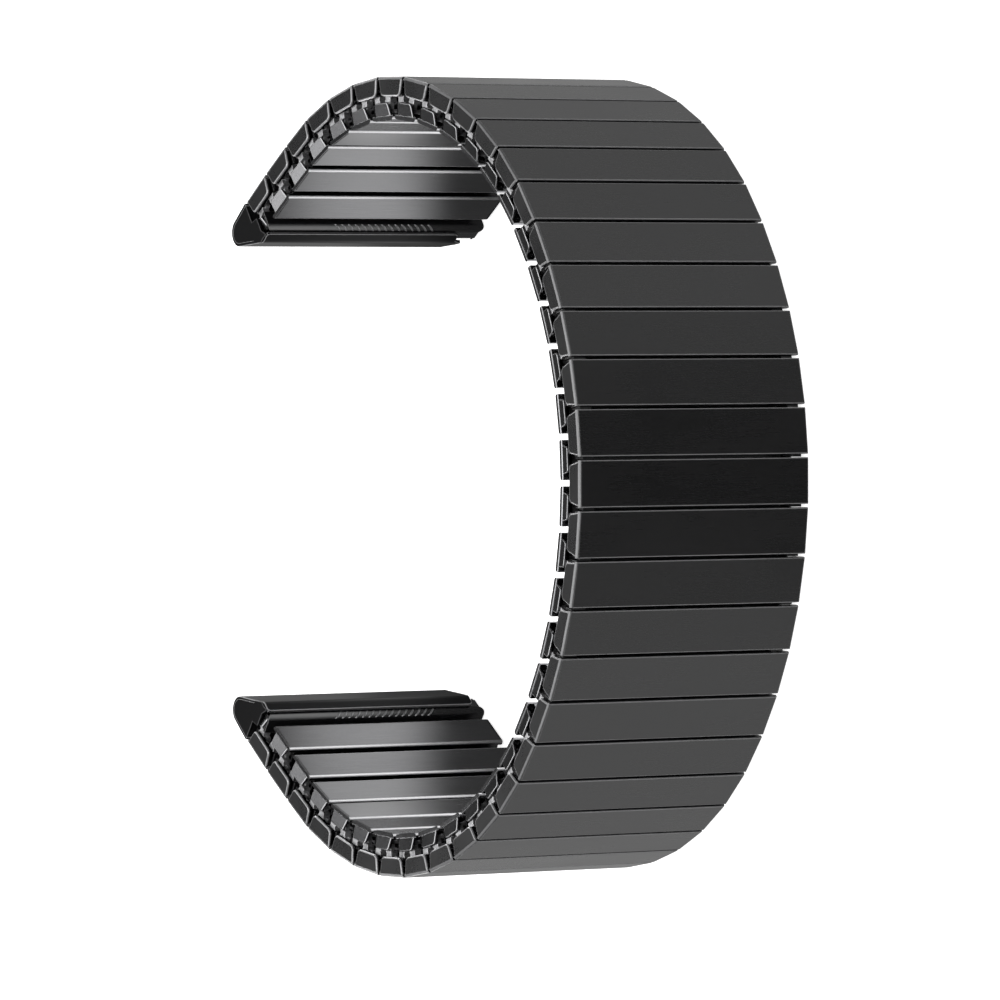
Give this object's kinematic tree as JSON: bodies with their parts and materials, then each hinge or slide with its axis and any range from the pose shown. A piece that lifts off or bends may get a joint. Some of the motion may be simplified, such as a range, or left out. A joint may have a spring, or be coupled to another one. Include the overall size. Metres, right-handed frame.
{
  "type": "stretch watch band",
  "caption": "Expanding watch band of black coated steel: a row of flat covers over a staggered row of sleeves, joined at the edges by bows, with a folded end piece for the watch at each end.",
  "frame": {"origin": "middle of the loop's box in X and Y, at the height of the side edge that the band lies on", "axes": "+Z along the bars, from one side edge to the other; -Y from the middle of the loop towards its closed side; +X towards end piece a"},
  "size_m": [0.0662, 0.0554, 0.022],
  "materials": {
    "coated_steel": "satin black coating",
    "bow_steel": "plain steel",
    "end_steel": "satin black coating"
  },
  "bodies": {
    "link_01": {"link_01": "coated_steel"},
    "link_02": {"link_02": "coated_steel"},
    "link_03": {"link_03": "coated_steel"},
    "link_04": {"link_04": "coated_steel"},
    "link_05": {"link_05": "coated_steel"},
    "link_06": {"link_06": "coated_steel"},
    "link_07": {"link_07": "coated_steel"},
    "link_08": {"link_08": "coated_steel"},
    "link_09": {"link_09": "coated_steel"},
    "link_10": {"link_10": "coated_steel"},
    "link_11": {"link_11": "coated_steel"},
    "link_12": {"link_12": "coated_steel"},
    "link_13": {"link_13": "coated_steel"},
    "link_14": {"link_14": "coated_steel"},
    "link_15": {"link_15": "coated_steel"},
    "link_16": {"link_16": "coated_steel"},
    "link_17": {"link_17": "coated_steel"},
    "link_18": {"link_18": "coated_steel"},
    "link_19": {"link_19": "coated_steel"},
    "link_20": {"link_20": "coated_steel"},
    "link_21": {"link_21": "coated_steel"},
    "link_22": {"link_22": "coated_steel"},
    "link_23": {"link_23": "coated_steel"},
    "link_24": {"link_24": "coated_steel"},
    "link_25": {"link_25": "coated_steel"},
    "link_26": {"link_26": "coated_steel"},
    "link_27": {"link_27": "coated_steel"},
    "link_28": {"link_28": "coated_steel"},
    "link_29": {"link_29": "coated_steel"},
    "link_30": {"link_30": "coated_steel"},
    "link_31": {"link_31": "coated_steel"},
    "link_32": {"link_32": "coated_steel"},
    "link_33": {"link_33": "coated_steel"},
    "link_34": {"link_34": "coated_steel"},
    "link_35": {"link_35": "coated_steel"},
    "link_36": {"link_36": "coated_steel"},
    "link_37": {"link_37": "coated_steel"},
    "bow_01": {"bow_01": "bow_steel"},
    "bow_03": {"bow_03": "bow_steel"},
    "bow_05": {"bow_05": "bow_steel"},
    "bow_07": {"bow_07": "bow_steel"},
    "bow_09": {"bow_09": "bow_steel"},
    "bow_11": {"bow_11": "bow_steel"},
    "bow_13": {"bow_13": "bow_steel"},
    "bow_15": {"bow_15": "bow_steel"},
    "bow_17": {"bow_17": "bow_steel"},
    "bow_20": {"bow_20": "bow_steel"},
    "bow_22": {"bow_22": "bow_steel"},
    "bow_24": {"bow_24": "bow_steel"},
    "bow_26": {"bow_26": "bow_steel"},
    "bow_28": {"bow_28": "bow_steel"},
    "bow_30": {"bow_30": "bow_steel"},
    "bow_32": {"bow_32": "bow_steel"},
    "bow_34": {"bow_34": "bow_steel"},
    "bow_36": {"bow_36": "bow_steel"},
    "end_a": {"end_shell_a": "end_steel", "end_tongue_a": "end_steel"},
    "end_b": {"end_shell_b": "end_steel", "end_tongue_b": "end_steel"}
  },
  "joints": [
    {"name": "stretch_19", "type": "slide", "parent": "link_19", "child": "link_20", "axis": [-0.9937, 0.1125, 0], "range_m": [0, 0.00065], "stiffness_N_per_m": 200},
    {"name": "flex_20", "type": "hinge", "parent": "link_20", "child": "bow_20", "pos_m": [-0.00609, -0.02725, 0.011], "axis": [0, 0, -1], "range_deg": [-6.46, 4.34]},
    {"name": "stretch_20", "type": "slide", "parent": "bow_20", "child": "link_21", "axis": [-0.9747, 0.2236, 0], "range_m": [0, 0.00065], "stiffness_N_per_m": 200},
    {"name": "stretch_21", "type": "slide", "parent": "link_21", "child": "link_22", "axis": [-0.9433, 0.3318, 0], "range_m": [0, 0.00065], "stiffness_N_per_m": 200},
    {"name": "flex_22", "type": "hinge", "parent": "link_22", "child": "bow_22", "pos_m": [-0.01392, -0.02498, 0.011], "axis": [0, 0, -1], "range_deg": [-6.46, 4.34]},
    {"name": "stretch_22", "type": "slide", "parent": "bow_22", "child": "link_23", "axis": [-0.9, 0.4359, 0], "range_m": [0, 0.00065], "stiffness_N_per_m": 200},
    {"name": "stretch_23", "type": "slide", "parent": "link_23", "child": "link_24", "axis": [-0.8453, 0.5344, 0], "range_m": [0, 0.00065], "stiffness_N_per_m": 200},
    {"name": "flex_24", "type": "hinge", "parent": "link_24", "child": "bow_24", "pos_m": [-0.02104, -0.02102, 0.011], "axis": [0, 0, -1], "range_deg": [-6.46, 4.34]},
    {"name": "stretch_24", "type": "slide", "parent": "bow_24", "child": "link_25", "axis": [-0.7798, 0.6261, 0], "range_m": [0, 0.00065], "stiffness_N_per_m": 200},
    {"name": "stretch_25", "type": "slide", "parent": "link_25", "child": "link_26", "axis": [-0.6805, 0.7328, 0], "range_m": [0, 0.00065], "stiffness_N_per_m": 200},
    {"name": "flex_26", "type": "hinge", "parent": "link_26", "child": "bow_26", "pos_m": [-0.027, -0.01548, 0.011], "axis": [0, 0, -1], "range_deg": [-8.36, 2.44]},
    {"name": "stretch_26", "type": "slide", "parent": "bow_26", "child": "link_27", "axis": [-0.5667, 0.8239, 0], "range_m": [0, 0.00065], "stiffness_N_per_m": 200},
    {"name": "stretch_27", "type": "slide", "parent": "link_27", "child": "link_28", "axis": [-0.4409, 0.8976, 0], "range_m": [0, 0.00065], "stiffness_N_per_m": 200},
    {"name": "flex_28", "type": "hinge", "parent": "link_28", "child": "bow_28", "pos_m": [-0.03111, -0.00846, 0.011], "axis": [0, 0, -1], "range_deg": [-8.36, 2.44]},
    {"name": "stretch_28", "type": "slide", "parent": "bow_28", "child": "link_29", "axis": [-0.3057, 0.9521, 0], "range_m": [0, 0.00065], "stiffness_N_per_m": 200},
    {"name": "stretch_29", "type": "slide", "parent": "link_29", "child": "link_30", "axis": [-0.164, 0.9865, 0], "range_m": [0, 0.00065], "stiffness_N_per_m": 200},
    {"name": "flex_30", "type": "hinge", "parent": "link_30", "child": "bow_30", "pos_m": [-0.03302, -0.00055, 0.011], "axis": [0, 0, -1], "range_deg": [-8.36, 2.44]},
    {"name": "stretch_30", "type": "slide", "parent": "bow_30", "child": "link_31", "axis": [-0.0188, 0.9998, 0], "range_m": [0, 0.00065], "stiffness_N_per_m": 200},
    {"name": "stretch_31", "type": "slide", "parent": "link_31", "child": "link_32", "axis": [0.1267, 0.9919, 0], "range_m": [0, 0.00065], "stiffness_N_per_m": 200},
    {"name": "flex_32", "type": "hinge", "parent": "link_32", "child": "bow_32", "pos_m": [-0.03259, 0.00758, 0.011], "axis": [0, 0, -1], "range_deg": [-8.36, 2.44]},
    {"name": "stretch_32", "type": "slide", "parent": "bow_32", "child": "link_33", "axis": [0.2696, 0.963, 0], "range_m": [0, 0.00065], "stiffness_N_per_m": 200},
    {"name": "stretch_33", "type": "slide", "parent": "link_33", "child": "link_34", "axis": [0.4067, 0.9135, 0], "range_m": [0, 0.00065], "stiffness_N_per_m": 200},
    {"name": "flex_34", "type": "hinge", "parent": "link_34", "child": "bow_34", "pos_m": [-0.02983, 0.01524, 0.011], "axis": [0, 0, -1], "range_deg": [-8.36, 2.44]},
    {"name": "stretch_34", "type": "slide", "parent": "bow_34", "child": "link_35", "axis": [0.5352, 0.8447, 0], "range_m": [0, 0.00065], "stiffness_N_per_m": 200},
    {"name": "stretch_35", "type": "slide", "parent": "link_35", "child": "link_36", "axis": [0.5627, 0.8267, 0], "range_m": [0, 0.00065], "stiffness_N_per_m": 200},
    {"name": "flex_36", "type": "hinge", "parent": "link_36", "child": "bow_36", "pos_m": [-0.02535, 0.02206, 0.011], "axis": [0, 0, -1], "range_deg": [-1.88, 8.92]},
    {"name": "stretch_36", "type": "slide", "parent": "bow_36", "child": "link_37", "axis": [0.5895, 0.8078, 0], "range_m": [0, 0.00065], "stiffness_N_per_m": 200},
    {"name": "stretch_37", "type": "slide", "parent": "link_37", "child": "end_b", "axis": [0.5895, 0.8078, 0], "range_m": [0, 0.00065], "stiffness_N_per_m": 200},
    {"name": "stretch_18", "type": "slide", "parent": "link_19", "child": "link_18", "axis": [1, 0, 0], "range_m": [0, 0.00065], "stiffness_N_per_m": 200},
    {"name": "stretch_17", "type": "slide", "parent": "link_18", "child": "bow_17", "axis": [0.9937, 0.1125, 0], "range_m": [0, 0.00065], "stiffness_N_per_m": 200},
    {"name": "flex_17", "type": "hinge", "parent": "bow_17", "child": "link_17", "pos_m": [0.00609, -0.02725, 0.011], "axis": [0, 0, 1], "range_deg": [-6.46, 4.34]},
    {"name": "stretch_16", "type": "slide", "parent": "link_17", "child": "link_16", "axis": [0.9747, 0.2236, 0], "range_m": [0, 0.00065], "stiffness_N_per_m": 200},
    {"name": "stretch_15", "type": "slide", "parent": "link_16", "child": "bow_15", "axis": [0.9433, 0.3318, 0], "range_m": [0, 0.00065], "stiffness_N_per_m": 200},
    {"name": "flex_15", "type": "hinge", "parent": "bow_15", "child": "link_15", "pos_m": [0.01392, -0.02498, 0.011], "axis": [0, 0, 1], "range_deg": [-6.46, 4.34]},
    {"name": "stretch_14", "type": "slide", "parent": "link_15", "child": "link_14", "axis": [0.9, 0.4359, 0], "range_m": [0, 0.00065], "stiffness_N_per_m": 200},
    {"name": "stretch_13", "type": "slide", "parent": "link_14", "child": "bow_13", "axis": [0.8453, 0.5344, 0], "range_m": [0, 0.00065], "stiffness_N_per_m": 200},
    {"name": "flex_13", "type": "hinge", "parent": "bow_13", "child": "link_13", "pos_m": [0.02104, -0.02102, 0.011], "axis": [0, 0, 1], "range_deg": [-6.46, 4.34]},
    {"name": "stretch_12", "type": "slide", "parent": "link_13", "child": "link_12", "axis": [0.7798, 0.6261, 0], "range_m": [0, 0.00065], "stiffness_N_per_m": 200},
    {"name": "stretch_11", "type": "slide", "parent": "link_12", "child": "bow_11", "axis": [0.6805, 0.7328, 0], "range_m": [0, 0.00065], "stiffness_N_per_m": 200},
    {"name": "flex_11", "type": "hinge", "parent": "bow_11", "child": "link_11", "pos_m": [0.027, -0.01548, 0.011], "axis": [0, 0, 1], "range_deg": [-8.36, 2.44]},
    {"name": "stretch_10", "type": "slide", "parent": "link_11", "child": "link_10", "axis": [0.5667, 0.8239, 0], "range_m": [0, 0.00065], "stiffness_N_per_m": 200},
    {"name": "stretch_09", "type": "slide", "parent": "link_10", "child": "bow_09", "axis": [0.4409, 0.8976, 0], "range_m": [0, 0.00065], "stiffness_N_per_m": 200},
    {"name": "flex_09", "type": "hinge", "parent": "bow_09", "child": "link_09", "pos_m": [0.03111, -0.00846, 0.011], "axis": [0, 0, 1], "range_deg": [-8.36, 2.44]},
    {"name": "stretch_08", "type": "slide", "parent": "link_09", "child": "link_08", "axis": [0.3057, 0.9521, 0], "range_m": [0, 0.00065], "stiffness_N_per_m": 200},
    {"name": "stretch_07", "type": "slide", "parent": "link_08", "child": "bow_07", "axis": [0.164, 0.9865, 0], "range_m": [0, 0.00065], "stiffness_N_per_m": 200},
    {"name": "flex_07", "type": "hinge", "parent": "bow_07", "child": "link_07", "pos_m": [0.03302, -0.00055, 0.011], "axis": [0, 0, 1], "range_deg": [-8.36, 2.44]},
    {"name": "stretch_06", "type": "slide", "parent": "link_07", "child": "link_06", "axis": [0.0188, 0.9998, 0], "range_m": [0, 0.00065], "stiffness_N_per_m": 200},
    {"name": "stretch_05", "type": "slide", "parent": "link_06", "child": "bow_05", "axis": [-0.1267, 0.9919, 0], "range_m": [0, 0.00065], "stiffness_N_per_m": 200},
    {"name": "flex_05", "type": "hinge", "parent": "bow_05", "child": "link_05", "pos_m": [0.03259, 0.00758, 0.011], "axis": [0, 0, 1], "range_deg": [-8.36, 2.44]},
    {"name": "stretch_04", "type": "slide", "parent": "link_05", "child": "link_04", "axis": [-0.2696, 0.963, 0], "range_m": [0, 0.00065], "stiffness_N_per_m": 200},
    {"name": "stretch_03", "type": "slide", "parent": "link_04", "child": "bow_03", "axis": [-0.4067, 0.9135, 0], "range_m": [0, 0.00065], "stiffness_N_per_m": 200},
    {"name": "flex_03", "type": "hinge", "parent": "bow_03", "child": "link_03", "pos_m": [0.02983, 0.01524, 0.011], "axis": [0, 0, 1], "range_deg": [-8.36, 2.44]},
    {"name": "stretch_02", "type": "slide", "parent": "link_03", "child": "link_02", "axis": [-0.5352, 0.8447, 0], "range_m": [0, 0.00065], "stiffness_N_per_m": 200},
    {"name": "stretch_01", "type": "slide", "parent": "link_02", "child": "bow_01", "axis": [-0.5627, 0.8267, 0], "range_m": [0, 0.00065], "stiffness_N_per_m": 200},
    {"name": "flex_01", "type": "hinge", "parent": "bow_01", "child": "link_01", "pos_m": [0.02535, 0.02206, 0.011], "axis": [0, 0, 1], "range_deg": [-1.88, 8.92]},
    {"name": "stretch_00", "type": "slide", "parent": "link_01", "child": "end_a", "axis": [-0.5895, 0.8078, 0], "range_m": [0, 0.00065], "stiffness_N_per_m": 200}
  ],
  "couplings": [
    {"joint": "stretch_20", "follows": "stretch_19", "ratio": 1},
    {"joint": "stretch_21", "follows": "stretch_19", "ratio": 1},
    {"joint": "stretch_22", "follows": "stretch_19", "ratio": 1},
    {"joint": "stretch_23", "follows": "stretch_19", "ratio": 1},
    {"joint": "stretch_24", "follows": "stretch_19", "ratio": 1},
    {"joint": "stretch_25", "follows": "stretch_19", "ratio": 1},
    {"joint": "stretch_26", "follows": "stretch_19", "ratio": 1},
    {"joint": "stretch_27", "follows": "stretch_19", "ratio": 1},
    {"joint": "stretch_28", "follows": "stretch_19", "ratio": 1},
    {"joint": "stretch_29", "follows": "stretch_19", "ratio": 1},
    {"joint": "stretch_30", "follows": "stretch_19", "ratio": 1},
    {"joint": "stretch_31", "follows": "stretch_19", "ratio": 1},
    {"joint": "stretch_32", "follows": "stretch_19", "ratio": 1},
    {"joint": "stretch_33", "follows": "stretch_19", "ratio": 1},
    {"joint": "stretch_34", "follows": "stretch_19", "ratio": 1},
    {"joint": "stretch_35", "follows": "stretch_19", "ratio": 1},
    {"joint": "stretch_36", "follows": "stretch_19", "ratio": 1},
    {"joint": "stretch_37", "follows": "stretch_19", "ratio": 1},
    {"joint": "stretch_18", "follows": "stretch_19", "ratio": 1},
    {"joint": "stretch_17", "follows": "stretch_19", "ratio": 1},
    {"joint": "stretch_16", "follows": "stretch_19", "ratio": 1},
    {"joint": "stretch_15", "follows": "stretch_19", "ratio": 1},
    {"joint": "stretch_14", "follows": "stretch_19", "ratio": 1},
    {"joint": "stretch_13", "follows": "stretch_19", "ratio": 1},
    {"joint": "stretch_12", "follows": "stretch_19", "ratio": 1},
    {"joint": "stretch_11", "follows": "stretch_19", "ratio": 1},
    {"joint": "stretch_10", "follows": "stretch_19", "ratio": 1},
    {"joint": "stretch_09", "follows": "stretch_19", "ratio": 1},
    {"joint": "stretch_08", "follows": "stretch_19", "ratio": 1},
    {"joint": "stretch_07", "follows": "stretch_19", "ratio": 1},
    {"joint": "stretch_06", "follows": "stretch_19", "ratio": 1},
    {"joint": "stretch_05", "follows": "stretch_19", "ratio": 1},
    {"joint": "stretch_04", "follows": "stretch_19", "ratio": 1},
    {"joint": "stretch_03", "follows": "stretch_19", "ratio": 1},
    {"joint": "stretch_02", "follows": "stretch_19", "ratio": 1},
    {"joint": "stretch_01", "follows": "stretch_19", "ratio": 1},
    {"joint": "stretch_00", "follows": "stretch_19", "ratio": 1}
  ]
}
